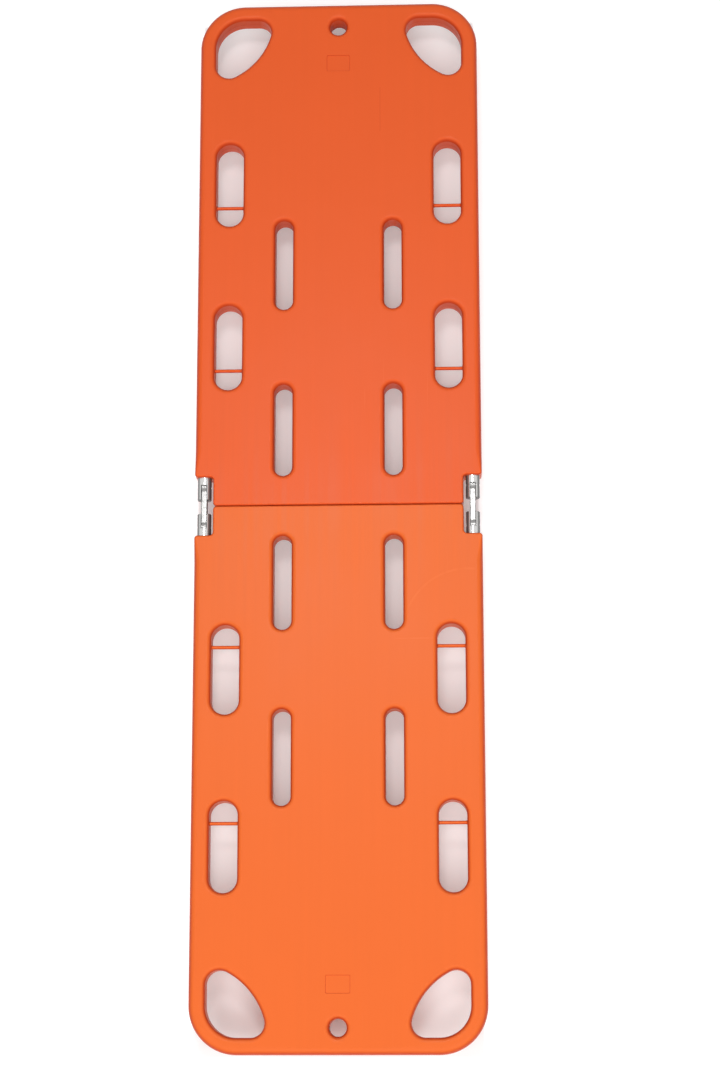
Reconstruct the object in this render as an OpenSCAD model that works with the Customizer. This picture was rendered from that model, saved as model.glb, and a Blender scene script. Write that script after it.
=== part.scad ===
// Two-fold spine board: two moulded plastic halves on a pair of double-pivot side hinges.
// The board lies flat, patient face up: X is its width, +Y its head end and Z its thickness.
// Every piece is drawn for the head half's right side and mirrored to its place.

/* [Board] */
// Overall length, both halves laid flat
board_l = 1840; // [1780:5:1960]
// Overall width
board_w = 493; // [470:1:540]
// Thickness of the moulding
board_t = 45; // [42:0.5:56]
// Radius of the four outer corners, seen from above
corner_r = 80; // [70:1:95]
// Rounding of the outer edge, top and bottom
edge_r = 11; // [7:0.5:13]
// Rounding of the rims of every hole
rim_r = 8; // [5:0.5:9]

/* [Slots] */
// From the seam to the middle of the first strap slot
first_slot_y = 134; // [125:1:145]
// Step from a strap slot to the next hand slot along the board
slot_step = 149; // [140:1:156]
// From the centre line to the middle of the strap slots
strap_slot_x = 95; // [80:1:110]
// Width of a strap slot
strap_slot_w = 31; // [24:0.5:36]
// Length of a strap slot
strap_slot_l = 162; // [120:1:170]
// From the board's side to the middle of the hand slots
hand_slot_inset = 55; // [50:1:60]
// Width of a hand slot
hand_slot_w = 47.5; // [40:0.5:52]
// Length of a hand slot
hand_slot_l = 152; // [120:1:160]

/* [Strap pins] */
// Diameter of the pin across each hand slot
strap_pin_d = 6; // [5:0.5:10]
// From the hand slot's end nearest the seam to the pin
strap_pin_back = 36.5; // [25:0.5:60]
// Height of the pin above the underside
strap_pin_z = 29.5; // [15:0.5:32]
// Depth of the pin in the moulding at each end
strap_pin_hold = 12; // [6:0.5:16]

/* [Corner grips] */
// Width of the rim left outside a corner grip
grip_rail = 28; // [24:0.5:34]
// Length of the grip along the board's side
grip_l = 109; // [102:1:120]
// Length of the grip along the board's end
grip_w = 98; // [94:1:108]
// Radius of the grip's two small corners
grip_r = 23.5; // [20:0.5:27]
// Radius of the grip's bowed inner side
grip_bow_r = 126; // [110:1:180]

/* [End details] */
// Diameter of the round hole at each end
end_hole_d = 29; // [20:0.5:36]
// From the board's end to the middle of the round hole
end_hole_inset = 44; // [40:1:52]
// Width of the shallow moulded panel near each end
panel_w = 40; // [20:1:60]
// Length of the panel along the board
panel_l = 29; // [16:1:40]
// Depth of the panel
panel_deep = 0.8; // [0.4:0.1:1.5]
// From the board's end to the middle of the panel
panel_inset = 114; // [105:1:140]

/* [Seam] */
// Gap between the two halves
seam_gap = 0.8; // [0.6:0.1:2]
// Rounding of the two top edges that meet at the seam
seam_edge_r = 3; // [1.5:0.5:4]
// Depth of the hinge notch from the board's side
notch_deep = 32; // [31:0.5:38]
// Length of the notch from the seam, in each half
notch_l = 51; // [48:0.5:60]
// Radius of the notch's inner corner
notch_r = 6; // [4:0.5:10]
// Rounding of the notch's rims, top and bottom
notch_rim_r = 3.5; // [2:0.5:4]
// Radius of the notch's two outer corners, seen from above
notch_corner_r = 5.5; // [5:0.5:8]

/* [Hinge] */
// From the board's side to the hinge's middle
hinge_inset = 16; // [15:0.5:17]
// Height of the pivot pins above the underside
pivot_z = 29; // [26:0.5:30]
// From the seam to each pivot pin
pivot_y = 35; // [33:0.5:37]
// Diameter of the round clevis bar
clevis_d = 24; // [22:0.5:26]
// From the seam to the clevis bar's tip
clevis_tip = 12; // [9:0.5:16]
// Bevel round the clevis bar's tip and the end of its shank
clevis_bevel = 1; // [0.5:0.1:2]
// Room left between a link's eye and the end of its clevis slot
slot_room = 1; // [0.6:0.1:2]
// Thickness of a link
link_t = 10; // [8:0.5:12]
// Height of a link's straight bar
link_h = 16; // [12:0.5:18]
// Outside diameter of a link's eyes
eye_d = 21; // [18:0.5:23]
// Diameter of a pivot pin
pivot_d = 8; // [6:0.5:10]
// Diameter of the clevis shank in its anchor tube
shank_d = 16; // [12:0.5:18]
// Length of the clevis shank
shank_l = 76; // [50:1:88]
// Length of an anchor tube
anchor_l = 90; // [90:1:110]
// Diameter of the pin that locks a shank in its tube
cross_d = 5; // [4:0.5:7]
// From the tube's mouth to the cross pin
cross_y = 40; // [20:1:45]

/* [Fits] */
// Radial clearance of a link's eye on its pivot pin
run_clear = 0.06; // [0.02:0.01:0.1]
// Clearance of a link to each cheek of its clevis
cheek_clear = 0.3; // [0.3:0.05:0.6]
// Distance that a pin's end lies below the surface it fills
pin_sink = 0.4; // [0.2:0.1:1]
// Extra room that the seam's rolled lower edge keeps while the board folds
roll_clear = 0.35; // [0.3:0.05:1]

/* [Hidden] */
$fn = 96;
HALVES = ["head", "foot"];
SIDES = ["left", "right"];
PLACES = ["inner", "outer"];

half_l = board_l / 2;
half_w = board_w / 2;
seam_y = seam_gap / 2;
hand_slot_x = half_w - hand_slot_inset;
hinge_x = half_w - hinge_inset;
clevis_slot_w = link_t + 2 * cheek_clear;
clevis_slot_end = pivot_y + eye_d / 2 + slot_room;
// Every cutter runs past the surface that it opens
past = 2;
// A rounding is drawn a little fuller than its radius, so that it meets both faces at a slight angle
fuller = 1.012;
// Facets along each arc of a corner grip, and round each of its rims
grip_steps = 5;

function strap_slot_y(place) = first_slot_y + (place == "inner" ? 0 : 2) * slot_step;
function hand_slot_y(place) = first_slot_y + (place == "inner" ? 1 : 3) * slot_step;
function strap_pin_y(place) = hand_slot_y(place) - hand_slot_l / 2 + strap_pin_back;
function on_arc(centre, r, a) = centre + r * [cos(a), sin(a)];
function heading(v) = (atan2(v.y, v.x) + 360) % 360;
// Half the length of a pin that lies across a round bar, its ends just below the bar's surface
function sunk_half(bar_d, pin_d) = sqrt(pow(bar_d / 2, 2) - pow(pin_d / 2, 2)) - pin_sink;

// Puts a piece drawn for the head half's right side on its own half and side
module place(half, side = "right") {
    mirror([0, half == "foot" ? 1 : 0, 0])
        mirror([side == "left" ? 1 : 0, 0, 0])
            children();
}

// The sliver that is cut away to round an outer corner of a section, its faces on +X and +Y
module rounding(r) {
    difference() {
        translate([-r, -r]) square(r + past);
        translate([-r, -r]) circle(r * fuller);
    }
}

// Section of the moulding from its middle out to a rounded edge
module edge_section(reach, r = edge_r) {
    difference() {
        square([reach, board_t]);
        translate([reach, board_t]) rounding(r);
        translate([reach, 0]) mirror([0, 1]) rounding(r);
    }
}

// Section of the space inside a hole, from its middle to its wall, widened where the two rims round over
module opening_section(wall, r = rim_r) {
    translate([0, -past]) square([wall, board_t + 2 * past]);
    for (top = [0, 1])
        translate([wall, top * board_t]) mirror([0, 1 - top]) mirror([1, 0]) rounding(r);
}

// Slot with round ends, along the board
module slot(w, l) {
    reach = (l - w) / 2;
    translate([0, reach, 0]) rotate([90, 0, 0]) linear_extrude(2 * reach)
        for (side = [0, 1])
            mirror([side, 0]) opening_section(w / 2);
    for (turn = [0, 180])
        rotate(turn) translate([0, reach, 0]) rotate_extrude(angle = 180) opening_section(w / 2);
}

// Arcs [centre, radius, from, to] round a corner grip: it follows the board's corner outside and bows on its
// inner side, where a large arc runs smoothly into the two small corners
function grip_arcs() =
    let (
        wall = [half_w - grip_rail, half_l - grip_rail],
        outer_c = [half_w - corner_r, half_l - corner_r],
        side_c = wall + [-grip_r, grip_r - grip_l],
        end_c = wall + [grip_r - grip_w, -grip_r],
        span = end_c - side_c,
        reach = sqrt(pow(grip_bow_r - grip_r, 2) - pow(norm(span) / 2, 2)),
        bow_c = (side_c + end_c) / 2 + reach * [span.y, -span.x] / norm(span),
        end_a = heading(end_c - bow_c),
        side_a = heading(side_c - bow_c),
        step = (side_a - end_a) / (grip_steps + 2)
    ) [
        [outer_c, corner_r - grip_rail, 0, 90],
        [end_c, grip_r, 90, end_a],
        [bow_c, grip_bow_r, end_a + step, side_a - step],
        [side_c, grip_r, side_a, 360]
    ];

// The grip's outline, grown by out, at one height
function grip_ring(out, z) = [
    for (arc = grip_arcs(), i = [0 : grip_steps])
        let (p = on_arc(arc[0], arc[1] + out, arc[2] + (arc[3] - arc[2]) * i / grip_steps))
            [p.x, p.y, z]
];

// Corner hand hole with rounded rims, as one closed surface of rings from below the board to above it
module corner_grip() {
    r = rim_r * fuller;
    rim = [for (i = [0 : grip_steps]) let (a = 90 * i / grip_steps) rim_r * [1, 1] - r * [sin(a), cos(a)]];
    rings = concat(
        [grip_ring(rim_r, -past)],
        [for (p = rim) grip_ring(p.x, p.y)],
        [for (i = [grip_steps : -1 : 0]) grip_ring(rim[i].x, board_t - rim[i].y)],
        [grip_ring(rim_r, board_t + past)]
    );
    n = len(rings[0]);
    last = len(rings) - 1;
    polyhedron(
        points = [for (ring = rings, p = ring) p],
        faces = concat(
            [[for (i = [0 : n - 1]) i]],
            [for (k = [0 : last - 1], i = [0 : n - 1])
                let (j = (i + 1) % n) [k * n + i, (k + 1) * n + i, (k + 1) * n + j, k * n + j]],
            [[for (i = [n - 1 : -1 : 0]) last * n + i]]
        )
    );
}

// Straight stretch of a notch's wall, with the moulding on the side that it faces
module notch_wall(start, facing, l) {
    deep = notch_deep / 2;
    translate(start) rotate(facing) translate([-deep, l]) rotate([90, 0, 0]) linear_extrude(l)
        opening_section(deep, notch_rim_r);
}

// What is cut away to round an outer corner of the notch, where the seam or the board's side runs into it
module notch_corner(corner) {
    r = notch_corner_r;
    translate([corner.x - r, corner.y + r, 0]) difference() {
        translate([0, -r - past, -past]) cube([r + past, r + past, board_t + 2 * past]);
        rotate_extrude() edge_section(r, notch_rim_r);
    }
}

// Open notch at the end of the seam, which takes a hinge
module hinge_notch() {
    wall_x = half_w - notch_deep;
    centre = [wall_x + notch_r, notch_l - notch_r];
    translate(centre) rotate(90) rotate_extrude(angle = 90) opening_section(notch_r, notch_rim_r);
    notch_wall([half_w + past, notch_l], 90, half_w + past - centre.x);
    notch_wall([wall_x, centre.y], 180, centre.y + past);
    translate([centre.x - notch_r / 2, -past, -past])
        cube([half_w + past - centre.x + notch_r / 2, notch_l + past - notch_r / 2, board_t + 2 * past]);
    notch_corner([wall_x, seam_y]);
    notch_corner([half_w, notch_l]);
}

// The seam's top edge is rounded, and its lower edge is rolled about the pivots so that the halves fold clear
module seam_cuts() {
    roll_r = pivot_y - seam_y - roll_clear;
    translate([-half_w - past, 0, 0]) rotate([90, 0, 90]) linear_extrude(board_w + 2 * past) {
        translate([seam_y, board_t]) mirror([1, 0]) rounding(seam_edge_r);
        difference() {
            translate([-past, -past]) square([pivot_y + past, pivot_z + past]);
            translate([pivot_y, pivot_z]) circle(roll_r);
        }
    }
}

// Plain moulding of the head half, before anything is cut from it
module half_blank() {
    straight_y = half_l - corner_r;
    straight_x = half_w - corner_r;
    translate([0, straight_y, 0]) rotate([90, 0, 0]) linear_extrude(straight_y - seam_y)
        for (side = [0, 1])
            mirror([side, 0]) edge_section(half_w);
    translate([-straight_x, straight_y, 0]) rotate([90, 0, 90]) linear_extrude(2 * straight_x)
        edge_section(corner_r);
    for (side = [0, 1])
        translate([side == 0 ? straight_x : -straight_x, straight_y, 0]) rotate(side * 90)
            rotate_extrude(angle = 90) edge_section(corner_r);
}

module shell(half) {
    color("orangered") place(half) difference() {
        half_blank();
        seam_cuts();
        for (side = SIDES) place("head", side) {
            hinge_notch();
            corner_grip();
            for (p = PLACES) {
                translate([strap_slot_x, strap_slot_y(p), 0]) slot(strap_slot_w, strap_slot_l);
                translate([hand_slot_x, hand_slot_y(p), 0]) slot(hand_slot_w, hand_slot_l);
                strap_pin_shape(p);
            }
            anchor_pocket();
        }
        translate([0, half_l - end_hole_inset, 0]) rotate_extrude() opening_section(end_hole_d / 2);
        translate([-panel_w / 2, half_l - panel_inset - panel_l / 2, board_t - panel_deep])
            cube([panel_w, panel_l, panel_deep + past]);
    }
}

// The pin across a hand slot, let into the moulding at both ends
module strap_pin_shape(place) {
    l = hand_slot_w + 2 * strap_pin_hold;
    translate([hand_slot_x - l / 2, strap_pin_y(place), strap_pin_z]) rotate([0, 90, 0])
        cylinder(h = l, d = strap_pin_d);
}

module strap_pin(half, side, place) {
    color("orangered") place(half, side) strap_pin_shape(place);
}

// Bore in the moulding that holds an anchor tube, open at the notch
module anchor_pocket() {
    translate([hinge_x, notch_l - past, pivot_z]) rotate([-90, 0, 0])
        cylinder(h = anchor_l + past, d = clevis_d);
}

module cross_pin_shape(half_length) {
    translate([hinge_x, notch_l + cross_y, pivot_z - half_length])
        cylinder(h = 2 * half_length, d = cross_d);
}

// Steel tube in the moulding's side rail, which holds the clevis shank
module anchor_tube(half, side) {
    color("lightgray") place(half, side) difference() {
        translate([hinge_x, notch_l, pivot_z]) rotate([-90, 0, 0]) difference() {
            cylinder(h = anchor_l, d = clevis_d);
            translate([0, 0, -past]) cylinder(h = anchor_l + 2 * past, d = shank_d);
        }
        cross_pin_shape(clevis_d);
    }
}

// Round bar, slotted for the link and bored for its pivot, on a shank that fills the anchor tube
module clevis(half, side) {
    r = clevis_d / 2;
    shank_r = shank_d / 2;
    shank_end = notch_l + shank_l;
    color("silver") place(half, side) difference() {
        translate([hinge_x, 0, pivot_z]) rotate([-90, 0, 0]) rotate_extrude() polygon([
            [0, clevis_tip],
            [r - clevis_bevel, clevis_tip],
            [r, clevis_tip + clevis_bevel],
            [r, notch_l],
            [shank_r, notch_l],
            [shank_r, shank_end - clevis_bevel],
            [shank_r - clevis_bevel, shank_end],
            [0, shank_end]
        ]);
        translate([hinge_x - clevis_slot_w / 2, 0, pivot_z - clevis_d])
            cube([clevis_slot_w, clevis_slot_end, 2 * clevis_d]);
        pivot_bore(clevis_d, pivot_d);
        cross_pin_shape(clevis_d);
    }
}

// Cylinder along a pivot's axis, half_length to each side of the hinge's middle
module pivot_bore(half_length, d) {
    translate([hinge_x - half_length, pivot_y, pivot_z]) rotate([0, 90, 0])
        cylinder(h = 2 * half_length, d = d);
}

module cross_pin(half, side) {
    color("gray") place(half, side) cross_pin_shape(sunk_half(clevis_d, cross_d));
}

module pivot_pin(half, side) {
    color("gainsboro") place(half, side) pivot_bore(sunk_half(clevis_d, pivot_d), pivot_d);
}

// Flat bar with an eye at each end, which lets the halves turn from flat to back to back
module link(side) {
    color("silver") place("head", side) difference() {
        union() {
            for (half = HALVES) place(half) pivot_bore(link_t / 2, eye_d);
            translate([hinge_x - link_t / 2, -pivot_y, pivot_z - link_h / 2])
                cube([link_t, 2 * pivot_y, link_h]);
        }
        for (half = HALVES) place(half) pivot_bore(link_t, pivot_d + 2 * run_clear);
    }
}

for (h = HALVES) {
    shell(h);
    for (s = SIDES) {
        for (p = PLACES)
            strap_pin(h, s, p);
        anchor_tube(h, s);
        clevis(h, s);
        cross_pin(h, s);
        pivot_pin(h, s);
    }
}
for (s = SIDES)
    link(s);
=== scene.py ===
"""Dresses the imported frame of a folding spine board: moulded halves, strap pins, hinges and a studio."""

import logging
import math
from dataclasses import dataclass
from enum import Enum
from typing import Any, Sequence, Union

import bmesh
import bpy
from bmesh.types import BMEdge, BMesh, BMVert
from mathutils import Euler, Matrix, Vector


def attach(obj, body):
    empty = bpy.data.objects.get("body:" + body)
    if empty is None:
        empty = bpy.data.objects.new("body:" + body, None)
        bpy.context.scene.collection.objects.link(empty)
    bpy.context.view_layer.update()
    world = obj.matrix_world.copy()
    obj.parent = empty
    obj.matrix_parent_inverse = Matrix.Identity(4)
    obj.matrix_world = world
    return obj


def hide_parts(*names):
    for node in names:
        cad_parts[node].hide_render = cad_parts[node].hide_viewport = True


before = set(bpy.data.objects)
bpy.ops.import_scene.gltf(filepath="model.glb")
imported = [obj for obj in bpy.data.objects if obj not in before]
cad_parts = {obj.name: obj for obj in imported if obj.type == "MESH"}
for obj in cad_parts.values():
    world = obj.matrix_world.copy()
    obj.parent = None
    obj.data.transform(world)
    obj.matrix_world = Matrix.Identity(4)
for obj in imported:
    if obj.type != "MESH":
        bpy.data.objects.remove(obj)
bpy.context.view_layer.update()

LOG = logging.getLogger("spine_board")
MM = 0.001
WELD = 1e-6
FINE_WELD = 1e-7
FACETS = 48
SHARP = math.radians(32.0)
ROUND_PROFILE = 0.5
NOISE_ROUGH = 0.55
UP = (0.0, 0.0, 1.0)
# Takes a drawing's X, Y and height to the board's Y, Z and X.
STANDING = Matrix(((0.0, 0.0, 1.0, 0.0), (1.0, 0.0, 0.0, 0.0), (0.0, 1.0, 0.0, 0.0), (0.0, 0.0, 0.0, 1.0)))
Number = Union[float, "Wire"]
Pair = tuple[float, float]
Triple = tuple[float, float, float]


class Half(Enum):
    """The two halves of the board."""

    HEAD = "head"
    FOOT = "foot"

    @property
    def sign(self) -> int:
        """Direction of this half along Y, from the seam."""
        return 1 if self is Half.HEAD else -1

    @property
    def body(self) -> str:
        """Name of the CAD body that this half's pieces ride on."""
        return f"{self.value}_half"

    @property
    def mirror(self) -> Matrix:
        """Takes a piece drawn for the head half to this half."""
        return Matrix.Diagonal((1.0, self.sign, 1.0, 1.0))


class Side(Enum):
    """The two sides of the board, seen from above with the head end up."""

    LEFT = "left"
    RIGHT = "right"

    @property
    def sign(self) -> int:
        """Direction of this side along X, from the centre line."""
        return -1 if self is Side.LEFT else 1


class Row(Enum):
    """The rows of slots in one half, counted from the seam."""

    INNER = "inner"
    OUTER = "outer"

    @property
    def index(self) -> int:
        """Place of the row, counted from the seam."""
        return 0 if self is Row.INNER else 1


class Slot(Enum):
    """The record's material slots."""

    PLASTIC = "orange_polyethylene"
    BRIGHT = "bright_hinge_steel"


class Wire:
    """A socket of a material's graph, which takes part in sums as a number does."""

    def __init__(self, graph: "Graph", socket: bpy.types.NodeSocket) -> None:
        """Keeps the graph and the socket.

        Args:
            graph: graph that new nodes go into.
            socket: output that this wire carries.
        """
        self.graph = graph
        self.socket = socket

    def _sum(self, operation: str, first: Number, second: Number) -> "Wire":
        """Adds one Math node.

        Args:
            operation: name of the Math node's operation.
            first: first operand.
            second: second operand.

        Returns:
            The node's result.
        """
        return self.graph.node("ShaderNodeMath", {"operation": operation}, {0: first, 1: second})

    def __add__(self, other: Number) -> "Wire":
        """This wire plus another value."""
        return self._sum("ADD", self, other)

    def __sub__(self, other: Number) -> "Wire":
        """This wire less another value."""
        return self._sum("SUBTRACT", self, other)

    def __mul__(self, other: Number) -> "Wire":
        """This wire times another value."""
        return self._sum("MULTIPLY", self, other)

    def __pow__(self, other: Number) -> "Wire":
        """This wire raised to a power."""
        return self._sum("POWER", self, other)

    def __rsub__(self, other: float) -> "Wire":
        """A number less this wire."""
        return self._sum("SUBTRACT", other, self)

    __radd__ = __add__
    __rmul__ = __mul__

    def __abs__(self) -> "Wire":
        """Size of this wire's value, without its sign."""
        return self._sum("ABSOLUTE", self, 0.0)

    def highest(self, other: Number) -> "Wire":
        """The larger of this wire and another value."""
        return self._sum("MAXIMUM", self, other)

    def ease(self, low: float, high: float) -> "Wire":
        """Smooth step of this wire.

        Args:
            low: value at which the step is 0.
            high: value at which the step is 1; it may lie below low.

        Returns:
            A value from 0 to 1.
        """
        if low > high:
            return 1.0 - self.ease(high, low)
        inputs = {"Value": self, "From Min": low, "From Max": high}
        return self.graph.node("ShaderNodeMapRange", {"interpolation_type": "SMOOTHSTEP"}, inputs)


class Graph:
    """Node graph of one material or of the world."""

    def __init__(self, tree: bpy.types.NodeTree) -> None:
        """Clears a node tree.

        Args:
            tree: tree to fill.
        """
        self.tree = tree
        tree.nodes.clear()

    def node(self, kind: str, settings: dict[str, Any], inputs: dict[Any, Any], output: Any = 0) -> Wire:
        """Adds one node.

        Args:
            kind: Blender's name of the node's type.
            settings: the node's own properties, which are set first.
            inputs: values or wires by socket name or place.
            output: name or place of the output that is wanted.

        Returns:
            That output.
        """
        made = self.tree.nodes.new(kind)
        for name, value in settings.items():
            setattr(made, name, value)
        for name, value in inputs.items():
            if isinstance(value, Wire):
                self.tree.links.new(value.socket, made.inputs[name])
            else:
                made.inputs[name].default_value = value
        return Wire(self, made.outputs[output]) if made.outputs else Wire(self, None)

    def place(self, scale: Triple = (1.0, 1.0, 1.0), turn: float = 0.0) -> Wire:
        """The piece's own coordinates in metres.

        Args:
            scale: stretch along each axis.
            turn: turn about Z, in radians.

        Returns:
            A vector.
        """
        point = self.node("ShaderNodeTexCoord", {}, {}, "Object")
        inputs = {"Vector": point, "Scale": scale, "Rotation": (0.0, 0.0, turn)}
        return self.node("ShaderNodeMapping", {}, inputs)

    def axes(self, vector: Wire) -> tuple[Wire, Wire, Wire]:
        """The three parts of a vector."""
        split = self.node("ShaderNodeSeparateXYZ", {}, {0: vector})
        return tuple(Wire(self, out) for out in split.socket.node.outputs)

    def facing_up(self) -> Wire:
        """How far a surface faces straight up, from -1 to 1."""
        return self.axes(self.node("ShaderNodeTexCoord", {}, {}, "Normal"))[2]

    def mixed(self, share: Number, first: Any, second: Any) -> Wire:
        """Mix of two colours.

        Args:
            share: how much of the second colour shows.
            first: colour or wire.
            second: colour or wire.

        Returns:
            The mixed colour.
        """
        return self.node("ShaderNodeMix", {"data_type": "RGBA"}, {0: share, 6: first, 7: second}, 2)

    def bump(self, height: Wire, depth: float, below: Any = None) -> Wire:
        """Bump from a height.

        Args:
            height: height from 0 to 1.
            depth: what a height of 1 stands for, in metres.
            below: bump that this one lies on.

        Returns:
            A normal.
        """
        inputs = {"Height": height, "Distance": depth, "Strength": 1.0}
        if below is not None:
            inputs["Normal"] = below
        return self.node("ShaderNodeBump", {}, inputs)


def rgba(colour: Sequence[float]) -> tuple[float, float, float, float]:
    """A colour with full alpha."""
    return (*colour, 1.0)


def shade(colour: Sequence[float], factor: float) -> tuple[float, float, float, float]:
    """A colour made lighter or darker by one factor."""
    return rgba([part * factor for part in colour])


@dataclass(frozen=True)
class Pattern:
    """Noise on a piece's own coordinates, from 0 to 1, or eased between two of its levels."""

    fineness: float
    detail: float = 2.0
    levels: Union[Pair, None] = None
    scale: Triple = (1.0, 1.0, 1.0)
    turn: float = 0.0

    def on(self, graph: Graph) -> Wire:
        """Draws the pattern.

        Args:
            graph: graph that it goes into.

        Returns:
            A value from 0 to 1.
        """
        place = graph.place(self.scale, self.turn)
        inputs = {"Vector": place, "Scale": self.fineness, "Detail": self.detail, "Roughness": NOISE_ROUGH}
        noise = graph.node("ShaderNodeTexNoise", {}, inputs)
        return noise.ease(*self.levels) if self.levels else noise


@dataclass(frozen=True)
class Finish:
    """What every finish has: a name and a way to make its material."""

    name: str

    def material(self) -> bpy.types.Material:
        """Makes the material.

        Returns:
            A material with its nodes.
        """
        made = bpy.data.materials.new(self.name)
        made.use_nodes = True
        graph = Graph(made.node_tree)
        surface = self.surface(graph)
        graph.node("ShaderNodeOutputMaterial", {}, {"Surface": surface})
        return made

    def surface(self, graph: Graph) -> Wire:
        """The finish's shader; each kind of finish has its own."""
        raise NotImplementedError


@dataclass(frozen=True)
class Mark:
    """A straight scuff on the patient face, along X or Y. Sizes in metres."""

    centre: Pair
    half: Pair
    soft: float = 0.0008

    def share(self, across: Wire, along: Wire) -> Wire:
        """Where the scuff shows, from 0 to 1, by place along X and Y."""
        (x, y), (wide, long), soft = self.centre, self.half, self.soft
        return abs(across - x).ease(wide + soft, wide) * abs(along - y).ease(long + soft, long)


@dataclass(frozen=True)
class Sweep:
    """A scuff along the head end's side of a circle on the patient face. Sizes in metres."""

    centre: Pair
    radius: float
    edge: Pair = (0.003, 0.0006)
    start: Pair = (0.03, 0.06)

    def share(self, across: Wire, along: Wire) -> Wire:
        """Where the scuff shows, from 0 to 1, by place along X and Y."""
        x, y = across - self.centre[0], along - self.centre[1]
        return abs((x * x + y * y) ** 0.5 - self.radius).ease(*self.edge) * y.ease(*self.start)


@dataclass(frozen=True)
class MouldedPlastic(Finish):
    """Satin polyethylene with flow streaks, fine grain and handling scuffs; painted shade on rims and panel
    edges.
    """

    colour: Triple = (0.80, 0.12, 0.021)
    rubbed: Triple = (0.88, 0.20, 0.065)
    # deep: colour of the painted shade on rims, walls and panel edges, and of one dark scratch.
    deep: Triple = (0.52, 0.042, 0.008)
    tones: Pair = (0.9, 1.1)
    roughness: float = 0.36
    sheen: float = 0.2
    mottle: Pattern = Pattern(7.0, 3.0)
    mottle_tone: float = 0.22
    mottle_rough: float = 0.1
    streak: Pattern = Pattern(1.0, 4.0, scale=(85.0, 1.6, 60.0))
    streak_tone: float = 0.2
    seam_reach: float = 0.25
    seam_tone: float = 0.7
    seam_rough: float = 0.2
    speck: Pattern = Pattern(900.0, 1.0)
    speck_tone: float = 0.06
    # Painted shade on rims and on walls that turn from facing up, and the noise that weakens it in patches.
    rim_shade_turn: Pair = (0.998, 0.6)
    rim_shade_tone: float = 0.8
    wall_shade_turn: Pair = (0.02, 0.3)
    wall_shade_share: float = 0.4
    rim_shade_breakup: Pattern = Pattern(38.0, 4.0, (0.42, 0.72))
    rim_shade_breakup_tone: float = 0.15
    wave: Pattern = Pattern(9.0)
    wave_depth: float = 0.0006
    grain: Pattern = Pattern(420.0, 3.0)
    grain_depth: float = 0.00004
    panel_centre: float = 0.806
    panel_half: Pair = (0.02, 0.0145)
    # Width of the painted shade along the panel edges.
    panel_shade_line: Pair = (0.0012, 0.0003)
    dark_mark: Mark = Mark((0.074, 0.718), (0.0004, 0.041))
    line_tone: float = 0.2
    top_turn: Pair = (0.9, 0.99)
    thin: Pattern = Pattern(1.0, levels=(0.69, 0.74), scale=(260.0, 5.0, 30.0), turn=0.1)
    thin_patch: Pattern = Pattern(4.0, levels=(0.52, 0.7))
    thin_share: float = 0.5
    sweep: Sweep = Sweep((0.221, -0.224), 0.1106)
    pale_mark: Mark = Mark((0.128, -0.2325), (0.032, 0.0004))
    broken: Pattern = Pattern(26.0, 3.0, (0.35, 0.55))
    mark_share: float = 0.6
    scratch_tone: float = 0.55
    scratch_rough: float = 0.12

    def surface(self, graph: Graph) -> Wire:
        """The plastic's shader."""
        across, along, _ = graph.axes(graph.place())
        mottle, streak, speck = (kind.on(graph) - 0.5 for kind in (self.mottle, self.streak, self.speck))
        by_seam = streak * abs(along).ease(self.seam_reach, 0.0)
        # Painted shade: faces that turn from facing up are mixed towards deep, vertical walls by only a share
        # of it.
        tilt = abs(graph.facing_up())
        walls = tilt.ease(*self.wall_shade_turn) * (1.0 - self.wall_shade_share) + self.wall_shade_share
        rim = tilt.ease(*self.rim_shade_turn) * walls
        scratch = self.scratches(graph, across, along)
        tone = mottle * self.mottle_tone + streak * self.streak_tone + by_seam * self.seam_tone
        tone = tone + speck * self.speck_tone + 0.5
        base = graph.mixed(tone, *(shade(self.colour, factor) for factor in self.tones))
        # Share of the painted rim shade, weaker in noise patches.
        rolled = rim * self.rim_shade_tone - rim * self.rim_shade_breakup.on(graph) * self.rim_shade_breakup_tone
        rim_shaded = graph.mixed(rolled, base, rgba(self.deep))
        # Painted shade along the panel edges, and one dark scratch, both mixed towards deep.
        lined = graph.mixed(self.lines(across, along) * self.line_tone, rim_shaded, rgba(self.deep))
        worn = graph.mixed(scratch * self.scratch_tone, lined, rgba(self.rubbed))
        rough = self.roughness + mottle * self.mottle_rough + by_seam * self.seam_rough
        rough = rough + scratch * self.scratch_rough
        wavy = graph.bump(self.wave.on(graph), self.wave_depth)
        fine = graph.bump(self.grain.on(graph), self.grain_depth, wavy)
        return graph.node(
            "ShaderNodeBsdfPrincipled",
            {},
            {"Base Color": worn, "Roughness": rough, "Specular IOR Level": self.sheen, "Normal": fine},
        )

    def lines(self, across: Wire, along: Wire) -> Wire:
        """Dark lines: painted shade along the edges of the shallow panels, and one dark scratch.

        Args:
            across: place along X.
            along: place along Y.

        Returns:
            A value from 0 to 1.
        """
        wide, long = self.panel_half
        past = (abs(across) - wide).highest(abs(abs(along) - self.panel_centre) - long)
        return abs(past).ease(*self.panel_shade_line).highest(self.dark_mark.share(across, along))

    def scratches(self, graph: Graph, across: Wire, along: Wire) -> Wire:
        """Faint pale scratches on the patient face: short ones along it, a straight one and a long sweep.

        Args:
            graph: graph that they go into.
            across: place along X.
            along: place along Y.

        Returns:
            A value from 0 to 1.
        """
        top = graph.facing_up().ease(*self.top_turn)
        thin = self.thin.on(graph) * self.thin_patch.on(graph)
        marks = self.sweep.share(across, along).highest(self.pale_mark.share(across, along))
        marks = marks * self.broken.on(graph)
        return top * (thin * self.thin_share).highest(marks * self.mark_share)


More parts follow.
